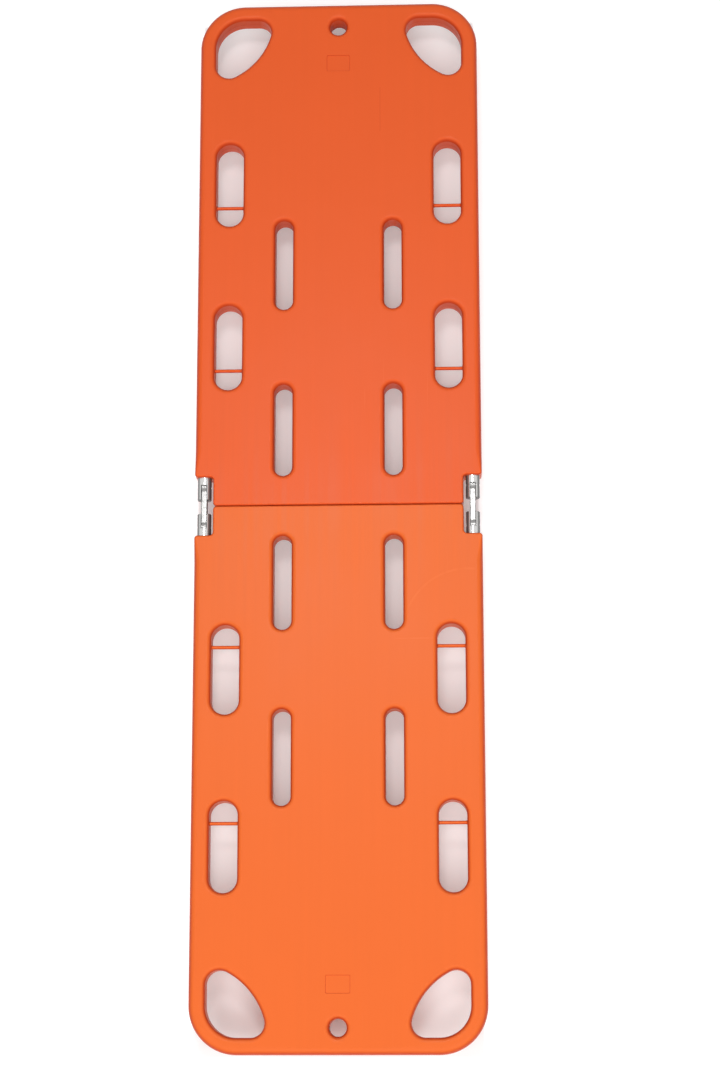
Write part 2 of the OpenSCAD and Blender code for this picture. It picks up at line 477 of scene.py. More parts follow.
@dataclass(frozen=True)
class BrightSteel(Finish):
    """Polished hinge steel with fine turning or drawing marks, dull specks and painted shade on its sides."""

    colour: Triple = (0.66, 0.655, 0.64)
    # side: dark colour of the painted shade on faces that turn from the top, standing in for dark
    # reflections.
    side: Triple = (0.12, 0.115, 0.11)
    side_turn: Pair = (0.9, 0.6)
    side_shade_dull: float = 0.8
    roughness: float = 0.2
    drawn: Pattern = Pattern(1.0, scale=(30.0, 900.0, 30.0))
    drawn_rough: float = 0.12
    drawn_depth: float = 0.00002
    stain: Pattern = Pattern(160.0, 4.0, (0.5, 0.78))
    stain_shade: float = 0.62
    stain_tone: float = 0.3
    stain_rough: float = 0.14

    def surface(self, graph: Graph) -> Wire:
        """The steel's shader."""
        drawn, stain = self.drawn.on(graph), self.stain.on(graph)
        # Painted shade: faces that turn from the top are mixed towards side and made less metallic.
        sides = abs(graph.facing_up()).ease(*self.side_turn)
        stained = shade(self.colour, self.stain_shade)
        polished = graph.mixed(stain * self.stain_tone, rgba(self.colour), stained)
        rough = self.roughness + (drawn - 0.5) * self.drawn_rough + stain * self.stain_rough
        return graph.node(
            "ShaderNodeBsdfPrincipled",
            {},
            {
                "Base Color": graph.mixed(sides, polished, rgba(self.side)),
                "Roughness": rough,
                "Metallic": 1.0 - sides * self.side_shade_dull,
                "Normal": graph.bump(drawn, self.drawn_depth),
            },
        )


@dataclass(frozen=True)
class BrushedSteel(Finish):
    """Plain drawn steel of the inner hardware, duller and streaked along its length."""

    colour: Triple = (0.52, 0.52, 0.51)
    tones: Pair = (0.8, 1.15)
    roughness: float = 0.38
    drawn: Pattern = Pattern(1.0, 3.0, scale=(700.0, 25.0, 700.0))
    drawn_rough: float = 0.2
    drawn_depth: float = 0.00002

    def surface(self, graph: Graph) -> Wire:
        """The steel's shader."""
        drawn = self.drawn.on(graph)
        base = graph.mixed(drawn, *(shade(self.colour, factor) for factor in self.tones))
        rough = self.roughness + (drawn - 0.5) * self.drawn_rough
        fine = graph.bump(drawn, self.drawn_depth)
        return graph.node(
            "ShaderNodeBsdfPrincipled",
            {},
            {"Base Color": base, "Roughness": rough, "Metallic": 1.0, "Normal": fine},
        )


def seen_directly(graph: Graph) -> Wire:
    """1 for rays that show the background to the camera, also by way of metal or glass, and 0 for light."""
    path = graph.node("ShaderNodeLightPath", {}, {})
    outs = path.socket.node.outputs
    camera, glossy, through = (
        Wire(graph, outs[name]) for name in ("Is Camera Ray", "Is Glossy Ray", "Is Transmission Ray")
    )
    return camera.highest(glossy).highest(through)


@dataclass(frozen=True)
class PaleFloor(Finish):
    """White floor that keeps the board's shadow, with a glow for the camera and reflections; clear from
    below.

    The glow is painted light: stronger just round the board, where it whitens the board's shadow, and white
    far off. Lengths are in metres; under the board the glow has a painted shadow, darkest below its left foot
    corner.
    """

    colour: Triple = (0.84, 0.83, 0.83)
    lift: float = 0.19
    painted_light_round_board: float = 0.3
    far: float = 0.6
    under_x: float = -0.0045
    under_half: Pair = (0.243, 0.922)
    soft: float = 0.005
    far_reach: Pair = (0.6, 2.6)
    painted_shadow_across: Pair = (0.42, -0.3)
    painted_shadow_along: Pair = (-0.66, -0.78)
    painted_shadow_under: float = -0.05

    def surface(self, graph: Graph) -> Wire:
        """The floor's shader."""
        matt = graph.node("ShaderNodeBsdfDiffuse", {}, {"Color": rgba(self.colour)})
        across, along, _ = graph.axes(graph.place())
        wide, long = self.under_half
        past = (abs(across - self.under_x) - wide).highest(abs(along) - long)
        # Painted shadow: the glow under the board is weaker below its left foot corner.
        painted_shadow = across.ease(*self.painted_shadow_across) * along.ease(*self.painted_shadow_along) * past.ease(0.0, self.painted_shadow_under)
        # Painted light: the glow is stronger just round the board, whitening its shadow, and white far off.
        lift = past.ease(0.0, self.soft) * self.painted_light_round_board + past.ease(*self.far_reach) * self.far
        lift = lift + (1.0 - painted_shadow) * self.lift
        glow = graph.node("ShaderNodeEmission", {}, {"Color": seen_directly(graph) * lift, "Strength": 1.0})
        lit = graph.node("ShaderNodeAddShader", {}, {0: matt, 1: glow})
        camera = graph.node("ShaderNodeLightPath", {}, {}, "Is Camera Ray")
        from_below = graph.node("ShaderNodeNewGeometry", {}, {}, "Backfacing") * camera
        clear = graph.node("ShaderNodeBsdfTransparent", {}, {})
        return graph.node("ShaderNodeMixShader", {}, {0: from_below, 1: lit, 2: clear})


class Pen:
    """Draws an outline in the board's plane with straight strokes and arcs, from one starting vertex."""

    def __init__(self, bm: BMesh, x: float, y: float, rounding: float = 0.0) -> None:
        """Sets the first vertex.

        Args:
            bm: mesh to draw in.
            x: start across the board, in millimetres.
            y: start along the board, in millimetres.
            rounding: radius of the rim here, in millimetres.
        """
        self.bm = bm
        self.layer = bm.verts.layers.float.get("rounding") or bm.verts.layers.float.new("rounding")
        self.tip = bm.verts.new((x * MM, y * MM, 0.0))
        self.tip[self.layer] = rounding

    def line(self, x: float, y: float, rounding: Union[float, None] = None, steps: int = 1) -> "Pen":
        """Straight stroke.

        Args:
            x: end across the board, in millimetres.
            y: end along the board, in millimetres.
            rounding: radius of the rim at the end, if it changes along the stroke.
            steps: number of edges.

        Returns:
            The pen, at the stroke's end.
        """
        step = (Vector((x * MM, y * MM, 0.0)) - self.tip.co) / steps
        change = 0.0 if rounding is None else (rounding - self.tip[self.layer]) / steps
        for _ in range(steps):
            made = bmesh.ops.extrude_vert_indiv(self.bm, verts=[self.tip])
            bmesh.ops.translate(self.bm, vec=step, verts=made["verts"])
            self.step_to(made["verts"][0], change)
        return self

    def arc(
        self, x: float, y: float, degrees: float, steps: int, rounding: Union[float, None] = None
    ) -> "Pen":
        """Arc about a centre.

        Args:
            x: centre across the board, in millimetres.
            y: centre along the board, in millimetres.
            degrees: how far to turn, anticlockwise.
            steps: number of edges.
            rounding: radius of the rim at the end, if it changes along the arc.

        Returns:
            The pen, at the arc's end.
        """
        centre, angle = (x * MM, y * MM, 0.0), math.radians(degrees / steps)
        change = 0.0 if rounding is None else (rounding - self.tip[self.layer]) / steps
        for _ in range(steps):
            made = bmesh.ops.spin(self.bm, geom=[self.tip], cent=centre, axis=UP, angle=angle, steps=1)
            self.step_to(next(part for part in made["geom_last"] if isinstance(part, BMVert)), change)
        return self

    def step_to(self, vert: BMVert, change: float) -> None:
        """Takes a new vertex as the tip.

        Args:
            vert: the new vertex.
            change: how much the rim's radius grows on the way.
        """
        radius = self.tip[self.layer] + change
        self.tip = vert
        self.tip[self.layer] = radius


def fill(bm: BMesh, edges: Sequence[BMEdge]) -> None:
    """Fills closed outlines that lie level, holes left open."""
    bmesh.ops.triangle_fill(bm, use_beauty=True, use_dissolve=False, edges=edges, normal=UP)


def fill_and_raise(bm: BMesh, height: float) -> None:
    """Fills the outlines of a plan, holes left open, and raises it to a solid.

    Args:
        bm: mesh with closed outlines in the plane of X and Y.
        height: thickness in metres.
    """
    bmesh.ops.remove_doubles(bm, verts=bm.verts[:], dist=WELD)
    fill(bm, bm.edges[:])
    raised = bmesh.ops.extrude_face_region(bm, geom=bm.faces[:])["geom"]
    top = [part for part in raised if isinstance(part, BMVert)]
    bmesh.ops.translate(bm, vec=(0.0, 0.0, height), verts=top)
    bmesh.ops.recalc_face_normals(bm, faces=bm.faces[:])


def turned(outline: Pen, steps: int = FACETS) -> BMesh:
    """Solid turned about the X axis.

    Args:
        outline: pen that has drawn half the section from axis to axis, X along the axis and Y out from it.
        steps: facets round the axis.

    Returns:
        A closed mesh.
    """
    bm = outline.bm
    bmesh.ops.spin(
        bm,
        geom=bm.verts[:] + bm.edges[:],
        cent=(0.0, 0.0, 0.0),
        axis=(1.0, 0.0, 0.0),
        angle=math.tau,
        steps=steps,
        use_merge=True,
    )
    bmesh.ops.remove_doubles(bm, verts=bm.verts[:], dist=FINE_WELD)
    bmesh.ops.recalc_face_normals(bm, faces=bm.faces[:])
    return bm


def rod(start: float, end: float, radius: float, steps: int = FACETS) -> BMesh:
    """Plain cylinder along X, sizes in millimetres."""
    return turned(Pen(bmesh.new(), start, 0.0).line(start, radius).line(end, radius).line(end, 0.0), steps)


def at(x: float, y: float, z: float) -> Matrix:
    """Shift by a place in millimetres."""
    return Matrix.Translation((x * MM, y * MM, z * MM))


def quarter_turn(axis: str) -> Matrix:
    """Turn of 90 degrees about an axis."""
    return Matrix.Rotation(math.radians(90.0), 4, axis)


def put(bm: BMesh, matrix: Matrix) -> BMesh:
    """Moves a whole mesh, and turns its faces outwards again.

    Args:
        bm: mesh to move.
        matrix: where it goes; it may mirror.

    Returns:
        The same mesh.
    """
    bmesh.ops.transform(bm, matrix=matrix, verts=bm.verts[:])
    if matrix.determinant() < 0.0:
        bmesh.ops.reverse_faces(bm, faces=bm.faces[:])
    return bm


def as_mesh(bm: BMesh, name: str) -> bpy.types.Mesh:
    """Turns a finished bmesh into a mesh and frees it.

    Args:
        bm: finished mesh.
        name: name of the new mesh.

    Returns:
        The new mesh.
    """
    mesh = bpy.data.meshes.new(name)
    bm.to_mesh(mesh)
    bm.free()
    return mesh


def joined(meshes: Sequence[BMesh]) -> BMesh:
    """Several meshes as one; the ones given are freed."""
    whole = bmesh.new()
    for bm in meshes:
        part = as_mesh(bm, "part")
        whole.from_mesh(part)
        bpy.data.meshes.remove(part)
    return whole


def linked(name: str, bm: BMesh) -> bpy.types.Object:
    """Makes an object from a finished bmesh and links it to the scene.

    Args:
        name: name of the object and of its mesh.
        bm: finished mesh.

    Returns:
        The new object.
    """
    made = bpy.data.objects.new(name, as_mesh(bm, name))
    bpy.context.scene.collection.objects.link(made)
    return made


@dataclass(frozen=True)
class Rounding:
    """Rounding of a piece's sharp edges, width in millimetres."""

    width: float
    segments: int

    def add_to(self, piece: bpy.types.Object) -> None:
        """Adds the bevel to a piece.

        Args:
            piece: piece to round.
        """
        bevel = piece.modifiers.new("rounding", "BEVEL")
        bevel.width = self.width * MM
        bevel.segments = self.segments
        bevel.profile = ROUND_PROFILE
        bevel.limit_method = "ANGLE"
        bevel.angle_limit = SHARP


def finished(
    name: str,
    bm: BMesh,
    finish: bpy.types.Material,
    body: str,
    nodes: Sequence[str],
    rounding: Union[Rounding, None] = None,
    cut: Union[BMesh, None] = None,
) -> bpy.types.Object:
    """Makes a piece from its mesh: cuts, rounds and shades it, and puts it on its body for its CAD nodes.

    Args:
        name: name of the piece.
        bm: its mesh.
        finish: its material.
        body: CAD body that it rides on.
        nodes: CAD nodes that it stands for.
        rounding: how its sharp edges are rounded.
        cut: what is cut from it.

    Returns:
        The piece.
    """
    piece = linked(name, bm)
    tool = linked(f"{name}_cut", cut) if cut else None
    if tool:
        boolean = piece.modifiers.new("cut", "BOOLEAN")
        boolean.operation, boolean.solver, boolean.object = "DIFFERENCE", "EXACT", tool
    if rounding:
        rounding.add_to(piece)
    made = bpy.data.meshes.new_from_object(piece.evaluated_get(bpy.context.evaluated_depsgraph_get()))
    rough, piece.data = piece.data, made
    piece.modifiers.clear()
    bpy.data.meshes.remove(rough)
    if tool:
        bpy.data.objects.remove(tool)
    made.name = name
    made.materials.clear()
    made.materials.append(finish)
    made.shade_smooth()
    made.set_sharp_from_angle(angle=SHARP)
    piece.modifiers.new("even_shading", "WEIGHTED_NORMAL").keep_sharp = True
    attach(piece, body)
    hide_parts(*nodes)
    LOG.info("%s: %d faces on %s", name, len(made.polygons), body)
    return piece


@dataclass
class MouldedHalf:
    """One moulded half of the board, drawn as the head half, mirrored for the foot. Sizes in millimetres."""

    half: Half
    length: float = 920.0
    width: float = 246.5
    thick: float = 45.0
    corner: float = 80.0
    edge: float = 11.0
    rim: float = 8.0
    seam: float = 0.4
    seam_edge: float = 3.0
    seam_corner: float = 5.5
    seam_steps: int = 4
    edge_run: float = 40.0
    edge_run_steps: int = 10
    rim_steps: int = 8
    corner_steps: int = 28
    roll_centre: Pair = (35.0, 29.0)
    roll: float = 34.25
    roll_steps: int = 16
    notch_wall: float = 214.5
    notch_end: float = 51.0
    notch_fillet: float = 6.0
    notch_rim: float = 3.5
    notch_steps: int = 8
    strap_x: float = 95.0
    strap_size: Pair = (31.0, 162.0)
    hand_x: float = 191.5
    hand_size: Pair = (47.5, 152.0)
    slot_steps: int = 24
    first_row: float = 134.0
    row_step: float = 149.0
    end_hole: float = 14.5
    end_hole_y: float = 876.0
    grip_rail: float = 28.0
    grip_reach: Pair = (98.0, 109.0)
    grip_corner: float = 23.5
    grip_bow: float = 126.0
    grip_steps: tuple[int, int, int] = (20, 14, 18)
    ridge: float = 0.25
    ridge_half: float = 0.8
    panel: Triple = (40.0, 29.0, 0.8)
    panel_y: float = 806.0
    panel_corner: float = 2.5
    panel_steps: int = 4
    hinge_x: float = 230.5
    pocket: float = 12.0
    pocket_deep: float = 90.0
    pin: float = 3.0
    pin_facets: int = 24
    pin_z: float = 29.5
    pin_back: float = 39.5
    pin_hold: float = 12.0
    cut_past: float = 2.0

    def row_y(self, row: Row, hand: bool) -> float:
        """Middle of a slot along the board.

        Args:
            row: which slot of its kind.
            hand: whether it is a hand slot.

        Returns:
            Distance from the seam in millimetres.
        """
        return self.first_row + (2 * row.index + hand) * self.row_step

    def pin_y(self, row: Row) -> float:
        """Distance of a row's strap pins from the seam."""
        return self.row_y(row, True) - self.pin_back

    def outline(self, bm: BMesh) -> None:
        """Draws the right side of the half's outline, from the seam round the notch to the middle of the end.

        Args:
            bm: mesh to draw in.
        """
        side, end = self.width - self.ridge, self.length - self.ridge
        r, fillet, wall, steps = self.seam_corner, self.notch_fillet, self.notch_wall, self.notch_steps
        pen = Pen(bm, 0.0, self.seam, self.seam_edge)
        pen.line(wall - r, self.seam, steps=self.seam_steps)
        pen.arc(wall - r, self.seam + r, 90.0, steps, self.notch_rim)
        pen.line(wall, self.notch_end - fillet)
        pen.arc(wall + fillet, self.notch_end - fillet, -90.0, steps)
        pen.line(side - r, self.notch_end)
        pen.arc(side - r, self.notch_end + r, 90.0, steps)
        pen.line(side, self.notch_end + r + self.edge_run, self.edge, self.edge_run_steps)
        pen.line(side, end - self.corner)
        pen.arc(side - self.corner, end - self.corner, 90.0, self.corner_steps)
        pen.line(0.0, end)

    def slot_outline(self, bm: BMesh, x: float, y: float, size: Pair) -> None:
        """Draws a slot with round ends.

        Args:
            bm: mesh to draw in.
            x: middle across the board.
            y: middle along the board.
            size: width and length.
        """
        r, reach = size[0] / 2, (size[1] - size[0]) / 2
        pen = Pen(bm, x + r, y - reach, self.rim)
        pen.line(x + r, y + reach).arc(x, y + reach, 180.0, self.slot_steps)
        pen.line(x - r, y - reach).arc(x, y - reach, 180.0, self.slot_steps)

    def grip_outline(self, bm: BMesh) -> None:
        """Draws the corner grip, which follows the corner outside and bows on its inner side.

        Args:
            bm: mesh to draw in.
        """
        r = self.grip_corner
        wall = Vector((self.width - self.grip_rail, self.length - self.grip_rail))
        outer = Vector((self.width - self.corner, self.length - self.corner))
        by_side = wall + Vector((-r, r - self.grip_reach[1]))
        by_end = wall + Vector((r - self.grip_reach[0], -r))
        span = by_end - by_side
        reach = math.sqrt((self.grip_bow - r) ** 2 - (span.length / 2) ** 2)
        bow = (by_side + by_end) / 2 + reach * Vector((span.y, -span.x)) / span.length
        end_turn = math.degrees(math.atan2(by_end.y - bow.y, by_end.x - bow.x)) % 360.0
        side_turn = math.degrees(math.atan2(by_side.y - bow.y, by_side.x - bow.x)) % 360.0
        by_corner, by_turn, by_bow = self.grip_steps
        pen = Pen(bm, wall.x, outer.y, self.rim)
        pen.arc(outer.x, outer.y, 90.0, by_corner).line(by_end.x, wall.y)
        pen.arc(by_end.x, by_end.y, end_turn - 90.0, by_turn)
        pen.arc(bow.x, bow.y, side_turn - end_turn, by_bow)
        pen.arc(by_side.x, by_side.y, 360.0 - side_turn, by_turn).line(wall.x, outer.y)

    def plan(self) -> BMesh:
        """All outlines of the half in the board's plane.

        Returns:
            A mesh of closed outlines.
        """
        bm = bmesh.new()
        self.outline(bm)
        self.grip_outline(bm)
        for row in Row:
            self.slot_outline(bm, self.strap_x, self.row_y(row, False), self.strap_size)
            self.slot_outline(bm, self.hand_x, self.row_y(row, True), self.hand_size)
        bmesh.ops.mirror(bm, geom=bm.verts[:] + bm.edges[:], axis="X", merge_dist=WELD)
        middle = at(0.0, self.end_hole_y, 0.0)
        hole = bmesh.ops.create_circle(bm, segments=FACETS, radius=self.end_hole * MM, matrix=middle)
        for vert in hole["verts"]:
            vert[bm.verts.layers.float["rounding"]] = self.rim
        bmesh.ops.remove_doubles(bm, verts=bm.verts[:], dist=WELD)
        return bm

    def rings(self) -> list[Triple]:
        """Profile of the walls from the lower rim to the upper one.

        Returns:
            For each ring of edges the shares of the rim's radius that it lies inwards and up, and the height
            in millimetres that the second share is added to; the middle ring is the mould line.
        """
        turns = [math.radians(90.0 * i / self.rim_steps) for i in range(self.rim_steps + 1)]
        low = [(1.0 - math.sin(turn), 1.0 - math.cos(turn), 0.0) for turn in turns]
        high = [(inwards, -up, self.thick) for inwards, up, _ in reversed(low)]
        middle = self.thick / 2
        return low + [(0.0, 0.0, middle + i * self.ridge_half) for i in (-1, 0, 1)] + high

    def blank(self) -> BMesh:
        """The half with all its holes and rounded rims, and a fine mould line round its walls.

        Returns:
            A closed mesh.
        """
        bm = self.plan()
        radius = bm.verts.layers.float["rounding"]
        home = bm.verts.layers.float_vector.new("home")
        inwards = bm.verts.layers.float_vector.new("inwards")
        loops = bm.edges[:]
        fill(bm, loops)
        normals = {edge: self.to_material(edge) for edge in loops}
        for vert in bm.verts:
            first, second = (normals[edge] for edge in vert.link_edges if edge in normals)
            vert[home], vert[inwards] = vert.co, (first + second) / (1.0 + first.dot(second))
        kept = set(loops)
        bmesh.ops.delete(bm, geom=bm.faces[:], context="FACES_ONLY")
        bmesh.ops.delete(bm, geom=[edge for edge in bm.edges if edge not in kept], context="EDGES")
        ends, edges = [], loops
        for place, (inset, lift, level) in enumerate(self.rings()):
            if place:
                made = bmesh.ops.extrude_edge_only(bm, edges=edges)["geom"]
                new = {part for part in made if isinstance(part, BMVert)}
                edges = [part for part in made if isinstance(part, BMEdge) and set(part.verts) <= new]
            on_ridge = place == self.rim_steps + 2
            for vert in {vert for edge in edges for vert in edge.verts}:
                ridge = self.ridge if on_ridge and vert[home].y > (self.seam + self.seam_corner) * MM else 0.0
                shift = Vector(vert[inwards]) * (inset * vert[radius] - ridge) * MM
                vert.co = Vector(vert[home]) + shift + Vector((0.0, 0.0, (level + lift * vert[radius]) * MM))
            ends.append(edges)
        for rim in (ends[0], ends[-1]):
            fill(bm, rim)
        bmesh.ops.recalc_face_normals(bm, faces=bm.faces[:])
        return put(bm, self.half.mirror)

    @staticmethod
    def to_material(edge: BMEdge) -> Vector:
        """Direction in the plan from an outline's edge to the face it bounds.

        Args:
            edge: an edge of an outline, with one face.

        Returns:
            A vector of length 1.
        """
        start, end = (vert.co for vert in edge.verts)
        across = (end - start).cross(Vector(UP)).normalized()
        return across if across.dot(edge.link_faces[0].calc_center_median() - start) > 0.0 else -across

    def cuts(self) -> BMesh:
        """What is cut from the rounded half: rolled seam edge, hinge pockets, pin sockets and the panel.

        Returns:
            Closed meshes that don't touch each other.
        """
        parts = [self.roll_cut(), self.panel_cut()]
        reach = self.hand_size[0] / 2 + self.pin_hold
        for side in Side:
            mouth = at(side.sign * self.hinge_x, self.notch_end, self.roll_centre[1]) @ quarter_turn("Z")
            parts.append(put(rod(-self.cut_past, self.pocket_deep, self.pocket), mouth))
            for row in Row:
                middle = at(side.sign * self.hand_x, self.pin_y(row), self.pin_z)
                parts.append(put(rod(-reach, reach, self.pin, self.pin_facets), middle))
        return put(joined(parts), self.half.mirror)

    def roll_cut(self) -> BMesh:
        """The space below the seam's rolled lower edge, along the whole seam.

        Returns:
            A closed mesh.
        """
        past, (y, z) = self.cut_past, self.roll_centre
        turn = math.degrees(math.asin((z + past) / self.roll))
        bm = bmesh.new()
        pen = Pen(bm, y - self.roll, z).arc(y, z, turn, self.roll_steps)
        pen.line(-past, -past).line(-past, z).line(y - self.roll, z)
        fill_and_raise(bm, 2 * (self.width + past) * MM)
        return put(bm, at(-(self.width + past), 0.0, 0.0) @ STANDING)

    def panel_cut(self) -> BMesh:
        """The shallow panel near the end, with sloped walls and rounded corners.

        Returns:
            A closed mesh.
        """
        wide, long, deep = self.panel
        bm = bmesh.new()
        bmesh.ops.create_cube(bm, size=1.0)
        size = Matrix.Diagonal((wide * MM, long * MM, 2 * deep * MM, 1.0))
        put(bm, size @ Matrix.Translation((0.0, 0.0, 0.5)))
        upright = [e for e in bm.edges if abs(e.verts[0].co.z - e.verts[1].co.z) > WELD]
        bmesh.ops.bevel(
            bm,
            geom=upright,
            offset=self.panel_corner * MM,
            offset_type="OFFSET",
            affect="EDGES",
            segments=self.panel_steps,
            profile=ROUND_PROFILE,
            material=-1,
        )
        top = [v for v in bm.verts if v.co.z > deep * MM]
        bmesh.ops.scale(bm, vec=(1.0 + 2 * deep / wide, 1.0 + 2 * deep / long, 1.0), verts=top)
        return put(bm, at(0.0, self.panel_y, self.thick - deep))

    def build(self, finish: bpy.types.Material) -> bpy.types.Object:
        """Makes the half and dresses it.

        Args:
            finish: the plastic.

        Returns:
            The piece.
        """
        return finished(
            f"{self.half.value}_moulding",
            self.blank(),
            finish,
            self.half.body,
            [f"{self.half.value}_shell"],
            cut=self.cuts(),
        )


@dataclass
class StrapPin:
    """Pin across a hand slot, moulded with a small flare at each wall. Sizes in millimetres."""

    board: MouldedHalf
    side: Side
    row: Row
    flare: float = 3.0
    flare_turn: float = 60.0
    flare_steps: int = 6
    sunk: float = 0.15

    def build(self, finish: bpy.types.Material) -> bpy.types.Object:
        """Makes the pin and dresses it.

        Args:
            finish: the plastic.

        Returns:
            The piece.
        """
        board, r = self.board, self.board.pin
        wall = board.hand_size[0] / 2
        end = wall + board.pin_hold
        root = wall + self.sunk
        turn = math.radians(self.flare_turn)
        waist = root - self.flare * math.sin(turn)
        brim = r + self.flare * (1.0 - math.cos(turn))
        pen = Pen(bmesh.new(), -end, 0.0).line(-end, r).line(-root, r).line(-root, brim)
        pen.arc(-waist, r + self.flare, self.flare_turn, self.flare_steps).line(waist, r)
        pen.arc(waist, r + self.flare, self.flare_turn, self.flare_steps)
        pen.line(root, r).line(end, r).line(end, 0.0)
        place = board.half.mirror @ at(self.side.sign * board.hand_x, board.pin_y(self.row), board.pin_z)
        name = f"{board.half.value}_{self.side.value}_{self.row.value}_strap_pin"
        pin = put(turned(pen), place)
        return finished(f"{name}_moulded", pin, finish, board.half.body, [name])


@dataclass
class SideHinge:
    """Hinge at one end of the seam: a slotted bar in each half and a link on two pivots. Millimetres."""

    side: Side
    x: float = 230.5
    z: float = 29.0
    pivot_y: float = 35.0
    bar: float = 12.0
    tip: float = 12.0
    mouth: float = 51.0
    shank: float = 8.0
    shank_end: float = 127.0
    slot: float = 10.6
    slot_end: float = 46.5
    slot_lip: float = 15.0
    cross_y: float = 91.0
    cross: float = 2.5
    pivot: float = 4.0
    pivot_half: float = 10.91
    link: float = 10.0
    link_high: float = 16.0
    eye: float = 10.5
    eye_gap: float = 0.06
    soft_edge: float = 0.5
    soft_steps: int = 2
    link_edge: float = 1.5
    link_steps: int = 4
    tip_steps: int = 6
    lip_steps: int = 12
    eye_steps: int = 36
    bar_facets: int = 64
    pin_facets: int = 40
    bore_facets: int = 24

    def bar_mesh(self) -> BMesh:
        """The bar and its shank, turned, before they are slotted and bored.

        Returns:
            A closed mesh along X, from the seam.
        """
        r, soft = self.bar, 2 * self.soft_edge
        pen = Pen(bmesh.new(), self.tip, 0.0).line(self.tip, r - soft)
        pen.arc(self.tip + soft, r - soft, -90.0, self.tip_steps)
        pen.line(self.mouth, r).line(self.mouth, self.shank).line(self.shank_end - soft, self.shank)
        return turned(pen.line(self.shank_end, self.shank - soft).line(self.shank_end, 0.0), self.bar_facets)

    def bar_cuts(self) -> BMesh:
        """Slot for the link, rounded above its eye, and the bores of the pivot and of the cross pin.

        Returns:
            Closed meshes, drawn along X from the seam.
        """
        tall = 2 * self.bar
        rise = (self.bar - self.soft_edge) / (self.slot_end - self.pivot_y)
        lip = math.degrees(math.asin(rise)) - self.slot_lip
        slot = bmesh.new()
        pen = Pen(slot, 0.0, -tall).line(self.slot_end, -tall).line(self.slot_end, 0.0)
        pen.arc(self.pivot_y, 0.0, lip, self.lip_steps)
        pen.line(pen.tip.co.x / MM, tall).line(0.0, tall).line(0.0, -tall)
        fill_and_raise(slot, self.slot * MM)
        put(slot, at(0.0, self.slot / 2, 0.0) @ quarter_turn("X"))
        pivot = put(rod(-tall, tall, self.pivot), at(self.pivot_y, 0.0, 0.0) @ quarter_turn("Z"))
        cross = rod(-tall, tall, self.cross, self.bore_facets)
        put(cross, at(self.cross_y, 0.0, 0.0) @ quarter_turn("Y"))
        return joined([slot, pivot, cross])

    def build_bar(self, half: Half, finish: bpy.types.Material) -> bpy.types.Object:
        """Makes one half's bar.

        Args:
            half: the half that holds it.
            finish: its steel.

        Returns:
            The piece.
        """
        place = half.mirror @ at(self.side.sign * self.x, 0.0, self.z) @ quarter_turn("Z")
        name = f"{half.value}_{self.side.value}_clevis"
        return finished(
            f"{name}_bar",
            put(self.bar_mesh(), place),
            finish,
            half.body,
            [name],
            Rounding(self.soft_edge, self.soft_steps),
            put(self.bar_cuts(), place),
        )

    def build_pivot(self, half: Half, finish: bpy.types.Material) -> bpy.types.Object:
        """Makes one half's pivot pin, with a bevel and a drilled centre at each end.

        Args:
            half: the half that holds it.
            finish: its steel.

        Returns:
            The piece.
        """
        r, end, soft = self.pivot, self.pivot_half, self.soft_edge
        pen = Pen(bmesh.new(), 2 * soft - end, 0.0).line(-end, 2 * soft).line(-end, r - soft)
        pen.line(soft - end, r).line(end - soft, r)
        pen.line(end, r - soft).line(end, 2 * soft).line(end - 2 * soft, 0.0)
        place = half.mirror @ at(self.side.sign * self.x, self.pivot_y, self.z)
        name = f"{half.value}_{self.side.value}_pivot_pin"
        pin = put(turned(pen, self.pin_facets), place)
        return finished(f"{name}_turned", pin, finish, half.body, [name])

    def build_link(self, finish: bpy.types.Material) -> bpy.types.Object:
        """Makes the link: a flat bar with an eye at each end.

        Args:
            finish: its steel.

        Returns:
            The piece.
        """
        bm, high, y = bmesh.new(), self.link_high / 2, self.pivot_y
        neck = math.degrees(math.asin(high / self.eye))
        reach = y - self.eye * math.cos(math.radians(neck))
        pen = Pen(bm, reach, -high).arc(y, 0.0, 360.0 - 2 * neck, self.eye_steps)
        pen.line(-reach, high).arc(-y, 0.0, 360.0 - 2 * neck, self.eye_steps).line(reach, -high)
        bore = (self.pivot + self.eye_gap) * MM
        for centre in (-y, y):
            bmesh.ops.create_circle(bm, segments=self.pin_facets, radius=bore, matrix=at(centre, 0.0, 0.0))
        fill_and_raise(bm, self.link * MM)
        put(bm, at(self.side.sign * self.x - self.link / 2, 0.0, self.z) @ STANDING)
        name = f"{self.side.value}_link"
        rounding = Rounding(self.link_edge, self.link_steps)
        return finished(f"{name}_bar", bm, finish, "hinge_links", [name], rounding)

    def build(self, turned_steel: bpy.types.Material, flat_steel: bpy.types.Material) -> None:
        """Makes the whole hinge.

        Args:
            turned_steel: finish of the bars and pivots.
            flat_steel: finish of the link.
        """
        for half in Half:
            self.build_bar(half, turned_steel)
            self.build_pivot(half, turned_steel)
        self.build_link(flat_steel)


@dataclass(frozen=True)
class Lamp:
    """A round soft lamp that points at the board's middle. Sizes in metres, power in watts."""

    name: str
    place: Triple
    size: float
    power: float
    in_sheen: bool = False

    def build(self) -> None:
        """Makes the lamp; only a lamp in the sheen is mirrored by the board."""
        data = bpy.data.lights.new(self.name, "AREA")
        data.shape, data.size, data.energy = "DISK", self.size, self.power
        lamp = bpy.data.objects.new(self.name, data)
        lamp.visible_glossy = self.in_sheen
        aim = (-Vector(self.place)).to_track_quat("-Z", "Y")
        lamp.matrix_world = Matrix.Translation(self.place) @ aim.to_matrix().to_4x4()
        bpy.context.scene.collection.objects.link(lamp)


